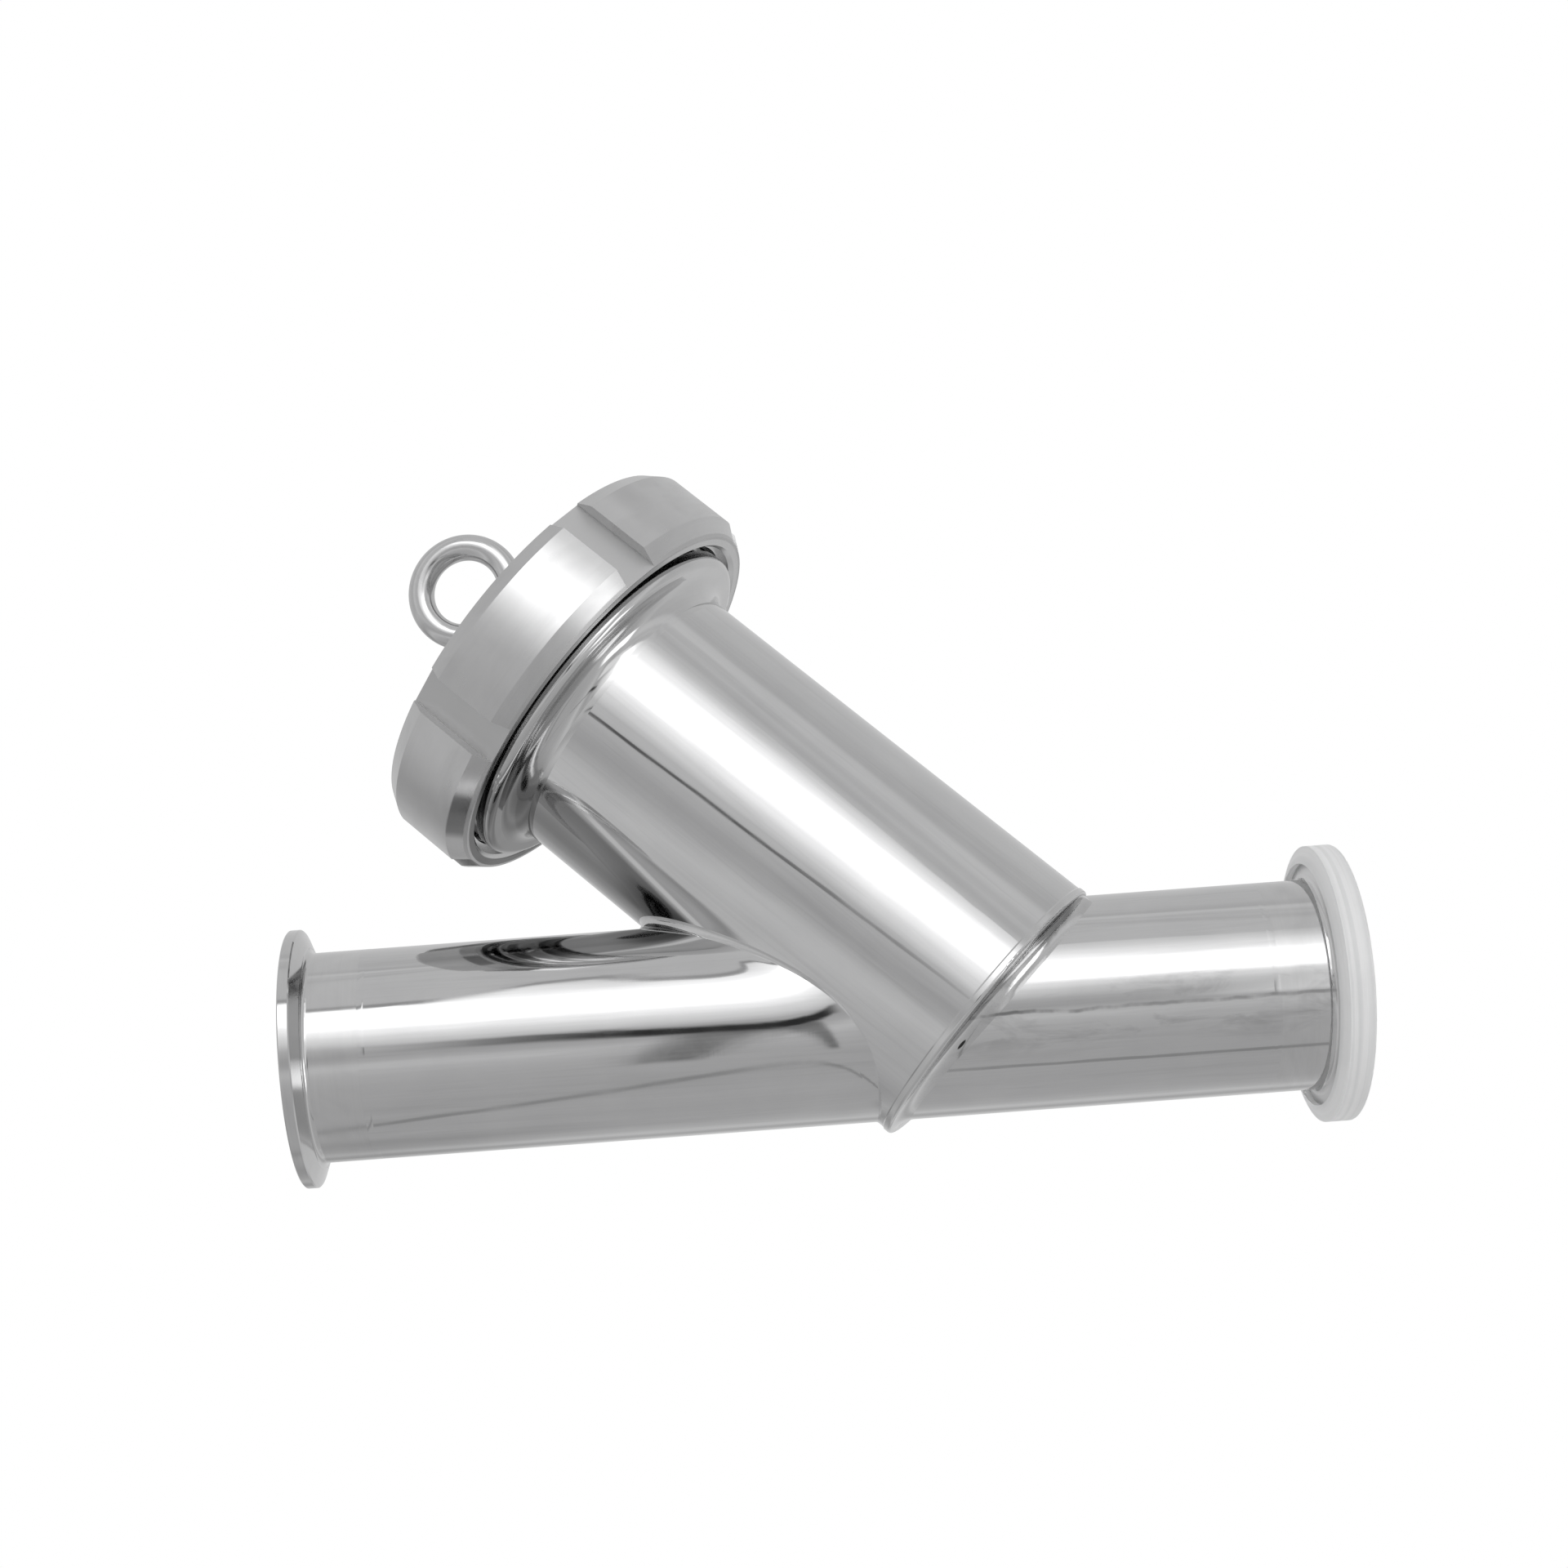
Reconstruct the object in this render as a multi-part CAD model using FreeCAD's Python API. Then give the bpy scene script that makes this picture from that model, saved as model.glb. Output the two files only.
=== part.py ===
"""Sanitary Y strainer: clamp ends on a straight run, a barrel leaning back at 45 degrees,
a perforated basket inside it and a blank cap held by a slotted round union nut.

Frame: the run lies along X and the barrel leans up and towards -X in the XZ plane. Shapes
are made about the point where the two axes meet, then moved along X so that the part's
origin is the centre of the outlet's clamp face. Flow enters at +X, passes through the end
plate's hole into the basket, leaves through the basket's wall and goes out at -X. Millimetres.
"""
import FreeCAD
import Part
import math
import os

V = FreeCAD.Vector
os.makedirs("parts", exist_ok=True)

# ---------------------------------------------------------------- run (DN 50 tube, clamp ends)
RUN_OD = 52.0
RUN_WALL = 1.0
OUTLET_FACE_X = -169.3
INLET_FACE_X = 86.2
FERRULE_OD = 64.0
FERRULE_RIM = 2.85
FERRULE_CONE_DEG = 20.0
FERRULE_LENGTH = 18.0
FERRULE_GROOVE_R = 28.25
FERRULE_GROOVE_DEPTH = 1.6
FERRULE_GROOVE_HALF = 1.7

# ---------------------------------------------------------------- barrel and end plate
BARREL_OD = 76.1
BARREL_WALL = 2.0
BARREL_DEG = 45.0
BARREL_START = -0.4
BARREL_END = 116.0
PLATE_THICK = 1.9
PLATE_PROUD = 0.3
PLATE_HOLE_R = 23.6
PLATE_ROUND = 0.8

# ---------------------------------------------------------------- union (DN 65 round thread)
THREAD_OD = 95.0
THREAD_PITCH = 25.4 / 6.0
THREAD_DEPTH = 1.9
THREAD_CLEAR = 0.35
MALE_TOP = 138.5
MALE_THREAD_START = 128.0
COLLAR_R = 47.2
COLLAR_TOP = 126.0
FLARE_R = 4.8
SEAL_INNER_R = 37.2
SEAL_OUTER_R = 41.4
SEAL_DEPTH = 4.5
SEAL_PROUD = 0.5

NUT_OD = 112.0
NUT_REAR = 124.15
NUT_HEIGHT = 25.0
NUT_SHOULDER = 4.6
NUT_HOLE_R = 40.6
NUT_SLOTS = 6
NUT_SLOT_WIDTH = 10.1
NUT_SLOT_DEPTH = 3.4
NUT_SLOT_START_DEG = 48.6
NUT_FRONT_CHAMFER = (2.4, 3.9)
NUT_REAR_CHAMFER = (3.3, 4.2)
NUT_MOUTH_R = 49.2
NUT_MOUTH_DEPTH = 3.2
NUT_MOUTH_BEVEL = 1.0

# ---------------------------------------------------------------- blank cap and eye
CAP_R = 44.4
CAP_BOTTOM = 139.3
CAP_THICK = 4.8
CAP_BOSS_R = 39.9
CAP_BOSS_TOP = 148.0
CAP_DISH_Z = CAP_BOSS_TOP - 2.4
CAP_SPIGOT_R = 35.4
CAP_SPIGOT_BOTTOM = 137.0
EYE_CENTRE = 173.3
EYE_R = 12.0
EYE_WIRE_R = 3.4
EYE_TURN_DEG = -12.7
STEM_R = 5.0
STEM_FILLET = 3.0

# ---------------------------------------------------------------- basket
SCREEN_OD = 60.0
SCREEN_WALL = 1.0
SCREEN_BOTTOM = 5.0
SCREEN_TOP = 133.0
HOLE_D = 4.0
HOLE_PITCH = 8.0
MESH_WALL = 0.35
TOP_RING_R = 35.6
TOP_RING_HEIGHT = 4.5
BASKET_TOP = 136.0
SPIGOT_R = 23.2
SPIGOT_BOTTOM = -2.0
SEAM_WIDTH = 8.0
SEAM_THICK = 0.6
BAIL_R = 1.25

# ---------------------------------------------------------------- inlet gasket
GASKET_BORE_R = 25.4
GASKET_FACE = 2.2
GASKET_OUTER_R = 34.2
GASKET_GAP = 0.3
GASKET_BACK = 3.9
GASKET_LIP_R = 30.0
GASKET_LIP_BACK = 5.4

RUN_R = RUN_OD / 2.0
RUN_BORE_R = RUN_R - RUN_WALL
BARREL_R = BARREL_OD / 2.0
BARREL_BORE_R = BARREL_R - BARREL_WALL
PLATE_R = BARREL_R + PLATE_PROUD
PLATE_BOTTOM = BARREL_START - PLATE_THICK
NUT_R = NUT_OD / 2.0
NUT_FRONT = NUT_REAR + NUT_HEIGHT
SCREEN_R = SCREEN_OD / 2.0
FAR = 400.0


# ---------------------------------------------------------------- helpers
def outline(*steps):
    """Closed wire in the (radius, height) half plane. A step is a point (r, z),
    or a pair (middle, end) for an arc through those two points."""
    edges = []
    first = here = V(steps[0][0], 0, steps[0][1])
    for step in steps[1:]:
        if isinstance(step[0], tuple):
            middle = V(step[0][0], 0, step[0][1])
            there = V(step[1][0], 0, step[1][1])
            edges.append(Part.Arc(here, middle, there).toShape())
        else:
            there = V(step[0], 0, step[1])
            edges.append(Part.LineSegment(here, there).toShape())
        here = there
    edges.append(Part.LineSegment(here, first).toShape())
    return Part.Wire(edges)


def turned(*steps):
    """Solid of revolution about Z from an outline."""
    solid = Part.Face(outline(*steps)).revolve(V(0, 0, 0), V(0, 0, 1), 360)
    return solid if solid.Volume > 0 else solid.reversed()


def rod(radius, start, end):
    return Part.makeCylinder(radius, end - start, V(0, 0, start), V(0, 0, 1))


def tube(outer, inner, start, end):
    return turned((inner, start), (outer, start), (outer, end), (inner, end))


def on_barrel(shape):
    """From the turning axis Z to the barrel's axis."""
    placed = shape.copy()
    placed.rotate(V(0, 0, 0), V(0, 1, 0), -BARREL_DEG)
    return placed


def on_run(shape, inward_from=0.0, facing=1):
    """From Z to the run: z = 0 goes to x = inward_from, and +z points towards facing * X."""
    placed = shape.copy()
    placed.rotate(V(0, 0, 0), V(0, 1, 0), 90 * facing)
    placed.translate(V(inward_from, 0, 0))
    return placed


def run_rod(radius, start, end):
    return Part.makeCylinder(radius, end - start, V(start, 0, 0), V(1, 0, 0))


def one_solid(shape):
    """The single solid in a boolean result, the largest if a sliver came along."""
    return max(shape.Solids, key=lambda solid: solid.Volume)


def arc_middle(centre, radius, degrees):
    angle = math.radians(degrees)
    return (centre[0] + radius * math.cos(angle), centre[1] + radius * math.sin(angle))


# ---------------------------------------------------------------- run: tubes and ferrules
def ferrule():
    """Clamp ferrule: face at z = 0, rim, 20 degree back cone, neck with a small hollow."""
    rim_r = FERRULE_OD / 2.0
    cone_drop = math.tan(math.radians(FERRULE_CONE_DEG))
    hollow = 1.5
    cone_end_r = RUN_R + hollow
    cone_end_z = FERRULE_RIM + (rim_r - cone_end_r) * cone_drop
    neck_z = cone_end_z + hollow
    edge = 0.3
    groove = FERRULE_GROOVE_R
    half = FERRULE_GROOVE_HALF
    return turned(
        (RUN_BORE_R, 0),
        (groove - half, 0),
        ((groove, FERRULE_GROOVE_DEPTH), (groove + half, 0)),
        (rim_r - edge, 0),
        (rim_r, edge),
        (rim_r, FERRULE_RIM - edge),
        (rim_r - edge, FERRULE_RIM),
        (cone_end_r, cone_end_z),
        (arc_middle((cone_end_r, neck_z), hollow, 225), (RUN_R, neck_z)),
        (RUN_R, FERRULE_LENGTH),
        (RUN_BORE_R, FERRULE_LENGTH),
    )


WELD_WIDTH = 1.6
WELD_CROWN = 0.02
WELD_ROOT = 0.3


def butt_weld(outer, inner, start, root=0.0):
    """Ground butt weld: a ring as wide as the weld, with a low crown and a root that stands in."""
    end = start + WELD_WIDTH
    return turned(
        (inner - root, start),
        (outer, start),
        ((outer + WELD_CROWN, (start + end) / 2.0), (outer, end)),
        (inner - root, end),
    )


BARREL_SOLID = on_barrel(rod(BARREL_R, -FAR, FAR))
BELOW_PLATE = on_barrel(rod(FAR, -FAR, PLATE_BOTTOM))
OUTLET_TUBE_X = OUTLET_FACE_X + FERRULE_LENGTH + WELD_WIDTH
INLET_TUBE_X = INLET_FACE_X - FERRULE_LENGTH - WELD_WIDTH


def outlet_tube():
    blank = run_rod(RUN_R, OUTLET_TUBE_X, 0).cut(run_rod(RUN_BORE_R, OUTLET_TUBE_X, 0))
    return one_solid(blank.cut(BARREL_SOLID))


def inlet_tube():
    start = -RUN_OD
    blank = run_rod(RUN_R, start, INLET_TUBE_X).cut(run_rod(RUN_BORE_R, start, INLET_TUBE_X))
    return one_solid(blank.common(BELOW_PLATE))


# ---------------------------------------------------------------- barrel
def barrel_tube():
    body = on_barrel(tube(BARREL_R, BARREL_BORE_R, BARREL_START, BARREL_END - WELD_WIDTH / 2.0))
    return one_solid(body.cut(run_rod(RUN_BORE_R, -2 * BARREL_OD, 0)))


def end_plate():
    """Disc that closes the barrel, with the basket's hole and a rounded outer edge."""
    flat_r = PLATE_R - PLATE_ROUND
    round_centre = (flat_r, PLATE_BOTTOM + PLATE_ROUND)
    return on_barrel(turned(
        (PLATE_HOLE_R, PLATE_BOTTOM),
        (flat_r, PLATE_BOTTOM),
        (arc_middle(round_centre, PLATE_ROUND, -45), (PLATE_R, PLATE_BOTTOM + PLATE_ROUND)),
        (PLATE_R, BARREL_START),
        (PLATE_HOLE_R, BARREL_START),
    ))


SADDLE_FILLET = 2.2
MITRE_FILLET_TOP = 1.0
MITRE_FILLET_BOTTOM = 10.0
BEAD_SINK = 0.06


def corner_edges(joined, one, other):
    """Edges of the fused solid that lie on both of the solids it was made from."""
    found = []
    for edge in joined.Edges:
        middle = edge.valueAt((edge.FirstParameter + edge.LastParameter) / 2.0)
        point = Part.Vertex(middle)
        if max(one.Shells[0].distToShape(point)[0], other.Shells[0].distToShape(point)[0]) < 1e-3:
            found.append(edge)
    return found


def saddle_weld():
    """Bead round the outlet tube's saddle. It starts just under both surfaces, so its toes are blunt."""
    def barrel(sink):
        return on_barrel(rod(BARREL_R - sink, -RUN_OD, BARREL_END))

    def branch(sink):
        return run_rod(RUN_R - sink, -5 * RUN_R, 0)

    one = barrel(BEAD_SINK)
    other = branch(BEAD_SINK)
    joined = one.fuse(other).removeSplitter()
    bead = joined.makeFillet(SADDLE_FILLET, corner_edges(joined, one, other))
    bead = bead.cut(barrel(0)).cut(branch(0))
    bead = bead.common(on_barrel(rod(FAR, BARREL_START, FAR)))
    return one_solid(bead.cut(plate_weld()))


def mitre_half(side):
    """Half of the blend, on the +Y or the -Y side; its fillet grows from the top to the bottom."""
    corner = V(-FAR, 0 if side > 0 else -FAR, -FAR)
    half = Part.makeBox(2 * FAR, FAR, 2 * FAR, corner)

    def plate(sink):
        return on_barrel(rod(3 * RUN_R, PLATE_BOTTOM + sink, PLATE_BOTTOM + 3 * RUN_R)).common(half)

    def branch(sink):
        return run_rod(RUN_R - sink, -2 * RUN_R, 3 * RUN_R).common(half)

    one = plate(BEAD_SINK)
    other = branch(BEAD_SINK)
    joined = one.fuse(other).removeSplitter()
    mitre = [edge for edge in corner_edges(joined, one, other)
             if abs(edge.valueAt((edge.FirstParameter + edge.LastParameter) / 2.0).y) > RUN_R / 2.0]
    rises = mitre[0].valueAt(mitre[0].FirstParameter).z < 0
    start, end = MITRE_FILLET_BOTTOM, MITRE_FILLET_TOP
    if not rises:
        start, end = end, start
    return joined.makeFillet(start, end, mitre).cut(plate(0)).cut(branch(0))


def mitre_weld():
    """Blend from the inlet tube out to the end plate, wide below and narrow above."""
    within_flat = on_barrel(rod(PLATE_R - PLATE_ROUND, -FAR, PLATE_BOTTOM))
    blend = mitre_half(1).fuse(mitre_half(-1)).removeSplitter()
    return one_solid(blend.common(within_flat))


def plate_weld():
    height = 0.4
    return on_barrel(turned(
        (BARREL_R, BARREL_START),
        (PLATE_R, BARREL_START),
        (BARREL_R, BARREL_START + height),
    ))


def union_weld():
    return on_barrel(butt_weld(BARREL_R, BARREL_BORE_R, BARREL_END - WELD_WIDTH / 2.0))


# ---------------------------------------------------------------- union: threads, male part, nut
THREAD_CREST_R = THREAD_OD / 2.0
THREAD_ROOT_R = THREAD_CREST_R - THREAD_DEPTH
RIDGE_BASE = 2.5
RIDGE_TIP = 1.1
AXIAL_CLEAR = 0.3


def thread_ridge(root_r, tip_r, base, tip, start, turns):
    """Right-hand round-thread ridge: a trapezoid with a domed tip, swept along a helix."""
    sunk = 0.3 if tip_r > root_r else -0.3
    slope = (base - tip) / abs(tip_r - root_r)
    foot = base + slope * abs(sunk)
    dome = (tip_r - root_r) * 0.12
    low = V(root_r - sunk, 0, start - foot / 2.0)
    low_tip = V(tip_r - dome, 0, start - tip / 2.0)
    mid_tip = V(tip_r, 0, start)
    high_tip = V(tip_r - dome, 0, start + tip / 2.0)
    high = V(root_r - sunk, 0, start + foot / 2.0)
    profile = Part.Wire([
        Part.LineSegment(low, low_tip).toShape(),
        Part.Arc(low_tip, mid_tip, high_tip).toShape(),
        Part.LineSegment(high_tip, high).toShape(),
        Part.LineSegment(high, low).toShape(),
    ])
    helix = Part.makeHelix(THREAD_PITCH, turns * THREAD_PITCH, root_r)
    helix.translate(V(0, 0, start))
    return Part.Wire(helix.Edges).makePipeShell([profile], True, True)


def union_male():
    """Union part on the barrel: concave flare, collar, thread relief, round thread, seal groove."""
    bottom = BARREL_END + WELD_WIDTH / 2.0
    brow = 2.0
    relief_r = THREAD_ROOT_R
    collar_bevel = 1.2
    top_bevel = 1.4
    inner_step = 0.6
    flare_end_r = BARREL_R + FLARE_R
    flare_end_z = bottom + FLARE_R
    body = turned(
        (BARREL_BORE_R, bottom),
        (BARREL_R, bottom),
        (arc_middle((flare_end_r, bottom), FLARE_R, 135), (flare_end_r, flare_end_z)),
        (COLLAR_R - brow, flare_end_z),
        (arc_middle((COLLAR_R - brow, flare_end_z + brow), brow, -45), (COLLAR_R, flare_end_z + brow)),
        (COLLAR_R, COLLAR_TOP),
        (relief_r, COLLAR_TOP + collar_bevel),
        (relief_r, MALE_TOP - top_bevel),
        (relief_r - top_bevel, MALE_TOP),
        (SEAL_OUTER_R, MALE_TOP),
        (SEAL_OUTER_R, MALE_TOP - SEAL_DEPTH),
        (SEAL_INNER_R, MALE_TOP - SEAL_DEPTH),
        (SEAL_INNER_R, MALE_TOP - inner_step),
        (BARREL_BORE_R, MALE_TOP - inner_step),
    )
    turns = math.ceil((MALE_TOP - MALE_THREAD_START) / THREAD_PITCH) + 1
    ridge = thread_ridge(THREAD_ROOT_R, THREAD_CREST_R, RIDGE_BASE, RIDGE_TIP,
                         MALE_THREAD_START - THREAD_PITCH / 2.0, turns)
    under = THREAD_ROOT_R - 1.0
    over = THREAD_CREST_R + 0.2
    run_in = 1.0
    run_out = 0.6
    window = turned(
        (under, MALE_THREAD_START - run_in),
        (THREAD_ROOT_R + 0.2, MALE_THREAD_START - run_in),
        (over, MALE_THREAD_START + run_out),
        (over, MALE_TOP - top_bevel - THREAD_DEPTH),
        (THREAD_ROOT_R, MALE_TOP - top_bevel),
        (under, MALE_TOP - top_bevel),
    )
    return on_barrel(one_solid(body.fuse(ridge.common(window))))


def round_nut():
    """Slotted union nut: two outer bevels, six spanner slots, shoulder over the cap, round thread."""
    front_in, front_along = NUT_FRONT_CHAMFER
    rear_in, rear_along = NUT_REAR_CHAMFER
    bore_r = THREAD_CREST_R + THREAD_CLEAR
    crest_r = THREAD_ROOT_R + THREAD_CLEAR
    mouth_end = NUT_REAR + NUT_MOUTH_DEPTH
    shoulder_z = NUT_FRONT - NUT_SHOULDER
    lip = 0.8
    body = turned(
        (NUT_MOUTH_R + NUT_MOUTH_BEVEL, NUT_REAR),
        (NUT_R - rear_in, NUT_REAR),
        (NUT_R, NUT_REAR + rear_along),
        (NUT_R, NUT_FRONT - front_along),
        (NUT_R - front_in, NUT_FRONT),
        (NUT_HOLE_R + lip, NUT_FRONT),
        (NUT_HOLE_R, NUT_FRONT - lip),
        (NUT_HOLE_R, shoulder_z),
        (bore_r, shoulder_z),
        (bore_r, mouth_end),
        (NUT_MOUTH_R, mouth_end),
        (NUT_MOUTH_R, NUT_REAR + NUT_MOUTH_BEVEL),
    )
    base = THREAD_PITCH - RIDGE_TIP - 2 * AXIAL_CLEAR
    tip = THREAD_PITCH - RIDGE_BASE - 2 * AXIAL_CLEAR
    zone_start = mouth_end + 0.4
    zone_end = MALE_TOP + 0.6
    under = bore_r + 1.0
    over = crest_r - 0.4
    first = MALE_THREAD_START - THREAD_PITCH
    turns = math.ceil((zone_end - first) / THREAD_PITCH) + 1
    ridge = thread_ridge(bore_r, crest_r, base, tip, first, turns)
    window = turned(
        (under, zone_start),
        (under, zone_end),
        (bore_r, zone_end),
        (over, zone_end - THREAD_DEPTH),
        (over, zone_start + THREAD_DEPTH),
        (bore_r, zone_start),
    )
    nut = one_solid(body.fuse(ridge.common(window)))
    for index in range(NUT_SLOTS):
        floor_r = NUT_R - NUT_SLOT_DEPTH
        corner = V(floor_r, -NUT_SLOT_WIDTH / 2.0, NUT_REAR - NUT_HEIGHT / 2.0)
        slot = Part.makeBox(2 * NUT_SLOT_DEPTH, NUT_SLOT_WIDTH, 2 * NUT_HEIGHT, corner)
        degrees = NUT_SLOT_START_DEG + index * 360.0 / NUT_SLOTS
        slot.rotate(V(0, 0, 0), V(0, 0, 1), degrees)
        nut = nut.cut(slot)
    return on_barrel(one_solid(nut))


def union_seal():
    """Sealing ring in the male part's groove, D-shaped with a domed top."""
    clear = 0.05
    bottom = MALE_TOP - SEAL_DEPTH
    shoulder = MALE_TOP - 0.4
    inner = SEAL_INNER_R + clear
    outer = SEAL_OUTER_R - clear
    middle = (inner + outer) / 2.0
    return on_barrel(turned(
        (inner, bottom),
        (outer, bottom),
        (outer, shoulder),
        ((middle, MALE_TOP + SEAL_PROUD), (inner, shoulder)),
    ))


# ---------------------------------------------------------------- blank cap and eye
def blank_cap():
    """Blind disc: spigot into the bore, flange under the nut's shoulder, dished boss on top."""
    bevel = 0.8
    dish_r = 33.0
    dish_round = 2.0
    flange_top = CAP_BOTTOM + CAP_THICK
    return on_barrel(turned(
        (0, CAP_SPIGOT_BOTTOM),
        (CAP_SPIGOT_R - bevel, CAP_SPIGOT_BOTTOM),
        (CAP_SPIGOT_R, CAP_SPIGOT_BOTTOM + bevel),
        (CAP_SPIGOT_R, CAP_BOTTOM),
        (CAP_R, CAP_BOTTOM),
        (CAP_R, flange_top - bevel),
        (CAP_R - bevel, flange_top),
        (CAP_BOSS_R, flange_top),
        (CAP_BOSS_R, CAP_BOSS_TOP - bevel),
        (CAP_BOSS_R - bevel, CAP_BOSS_TOP),
        (dish_r, CAP_BOSS_TOP),
        (arc_middle((dish_r, CAP_BOSS_TOP - dish_round), dish_round, 180),
         (dish_r - dish_round * 0.6, CAP_DISH_Z)),
        (0, CAP_DISH_Z),
    ))


def eye_turned_to_place(shape):
    """Turn a shape made in the XZ plane about Z to the eye's angle."""
    placed = shape.copy()
    placed.rotate(V(0, 0, 0), V(0, 0, 1), EYE_TURN_DEG)
    return placed


def eye_torus():
    ring = Part.makeTorus(EYE_R, EYE_WIRE_R, V(0, 0, EYE_CENTRE), V(0, 1, 0))
    return eye_turned_to_place(ring)


def eye_ring():
    return on_barrel(eye_torus())


def eye_stem():
    """Neck between cap and eye, flared by its weld at the cap."""
    bevel = 1.0
    top = EYE_CENTRE - EYE_R
    fillet_centre = (STEM_R + STEM_FILLET, CAP_DISH_Z + STEM_FILLET)
    stem = turned(
        (0, CAP_DISH_Z),
        (STEM_R + STEM_FILLET, CAP_DISH_Z),
        (arc_middle(fillet_centre, STEM_FILLET, 225), (STEM_R, CAP_DISH_Z + STEM_FILLET)),
        (STEM_R, top - bevel),
        (STEM_R - bevel, top),
        (0, top),
    )
    return on_barrel(one_solid(stem.cut(eye_torus())))


# ---------------------------------------------------------------- basket
TOP_RING_BOTTOM = BASKET_TOP - TOP_RING_HEIGHT
SCREEN_BORE_R = SCREEN_R - SCREEN_WALL
BASKET_MOUTH_R = SCREEN_BORE_R - 1.0
BOTTOM_RING_TOP = 8.0
BOTTOM_RING_R = SCREEN_R + 1.2
SPIGOT_BORE_R = 21.0
SHOULDER_Z = BARREL_START + 0.3


def screen_tube():
    """Perforated tube: staggered round holes in rows, none under the lap seam at +X."""
    body = tube(SCREEN_R, SCREEN_BORE_R, SCREEN_BOTTOM, SCREEN_TOP)
    columns = int(math.pi * SCREEN_OD / HOLE_PITCH)
    row_pitch = HOLE_PITCH * math.sqrt(3) / 2.0
    first = BOTTOM_RING_TOP + HOLE_D
    last = TOP_RING_BOTTOM - HOLE_D
    rows = int((last - first) / row_pitch) + 1
    step = 360.0 / columns
    reach = 3.0
    drills = []
    for row in range(rows):
        stagger = step / 2.0 if row % 2 else 0.0
        for column in range(columns):
            degrees = column * step + stagger
            off_seam = min(degrees, 360.0 - degrees)
            if off_seam < step:
                continue
            drill = Part.makeCylinder(HOLE_D / 2.0, 2 * reach, V(SCREEN_R - reach, 0, 0), V(1, 0, 0))
            drill.rotate(V(0, 0, 0), V(0, 0, 1), degrees)
            drill.translate(V(0, 0, first + row * row_pitch))
            drills.append(drill)
    return on_barrel(one_solid(body.cut(Part.makeCompound(drills))))


def screen_mesh():
    """Fine mesh sleeve inside the perforated tube, as a thin closed sleeve."""
    return on_barrel(tube(SCREEN_BORE_R, SCREEN_BORE_R - MESH_WALL, SCREEN_BOTTOM, SCREEN_TOP))


def screen_top_ring():
    """Ring on the upper end of the basket; its rim runs in the union's bore."""
    bevel = 0.5
    return on_barrel(turned(
        (SCREEN_R, TOP_RING_BOTTOM),
        (TOP_RING_R - bevel, TOP_RING_BOTTOM),
        (TOP_RING_R, TOP_RING_BOTTOM + bevel),
        (TOP_RING_R, BASKET_TOP - bevel),
        (TOP_RING_R - bevel, BASKET_TOP),
        (BASKET_MOUTH_R, BASKET_TOP),
        (BASKET_MOUTH_R, SCREEN_TOP),
        (SCREEN_R, SCREEN_TOP),
    ))


def screen_bottom_ring():
    """Ring on the lower end of the basket, with the spigot that plugs into the end plate."""
    bevel = 0.5
    return on_barrel(turned(
        (SPIGOT_BORE_R, SPIGOT_BOTTOM),
        (SPIGOT_R - bevel, SPIGOT_BOTTOM),
        (SPIGOT_R, SPIGOT_BOTTOM + bevel),
        (SPIGOT_R, SHOULDER_Z),
        (BOTTOM_RING_R - bevel, SHOULDER_Z),
        (BOTTOM_RING_R, SHOULDER_Z + bevel),
        (BOTTOM_RING_R, BOTTOM_RING_TOP),
        (SCREEN_R, BOTTOM_RING_TOP),
        (SCREEN_R, SCREEN_BOTTOM),
        (SPIGOT_BORE_R, SCREEN_BOTTOM),
    ))


def screen_seam():
    """Lap strip over the perforated tube's joint."""
    strip = tube(SCREEN_R + SEAM_THICK, SCREEN_R, BOTTOM_RING_TOP, TOP_RING_BOTTOM)
    cutter = Part.makeBox(SCREEN_OD, SEAM_WIDTH, FAR, V(0, -SEAM_WIDTH / 2.0, 0))
    return on_barrel(one_solid(strip.common(cutter)))


def screen_bail():
    """Round cross bar in the mouth of the basket, which it is drawn out by."""
    reach = SCREEN_R
    height = (SCREEN_TOP + BASKET_TOP) / 2.0
    bar = Part.makeCylinder(BAIL_R, 2 * reach, V(-reach, 0, height), V(1, 0, 0))
    mouth = rod(BASKET_MOUTH_R, SCREEN_BOTTOM, BASKET_TOP)
    return on_barrel(one_solid(bar.common(mouth)))


# ---------------------------------------------------------------- inlet gasket
def clamp_gasket():
    """Clamp gasket: bead in the ferrule's groove, band round its rim, lip over its back cone."""
    band_r = FERRULE_OD / 2.0 + GASKET_GAP
    cone_drop = math.tan(math.radians(FERRULE_CONE_DEG))
    band_end = FERRULE_RIM + GASKET_GAP
    lip_start = band_end + (band_r - GASKET_LIP_R) * cone_drop
    bead_half = FERRULE_GROOVE_HALF - GASKET_GAP
    bead_top = FERRULE_GROOVE_DEPTH - GASKET_GAP
    soft = 0.5
    front_centre = (GASKET_OUTER_R - soft, soft - GASKET_FACE)
    return turned(
        (GASKET_BORE_R, 0),
        (GASKET_BORE_R, -GASKET_FACE),
        (GASKET_OUTER_R - soft, -GASKET_FACE),
        (arc_middle(front_centre, soft, -45), (GASKET_OUTER_R, soft - GASKET_FACE)),
        (GASKET_OUTER_R, GASKET_BACK),
        (GASKET_LIP_R, GASKET_LIP_BACK),
        (GASKET_LIP_R, lip_start),
        (band_r, band_end),
        (band_r, 0),
        (FERRULE_GROOVE_R + bead_half, 0),
        ((FERRULE_GROOVE_R, bead_top), (FERRULE_GROOVE_R - bead_half, 0)),
    )


# ---------------------------------------------------------------- nodes
def both_ferrule_welds():
    start = FERRULE_LENGTH
    ring = butt_weld(RUN_R, RUN_BORE_R, start, WELD_ROOT)
    return Part.makeCompound([on_run(ring, OUTLET_FACE_X, 1), on_run(ring, INLET_FACE_X, -1)])


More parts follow.
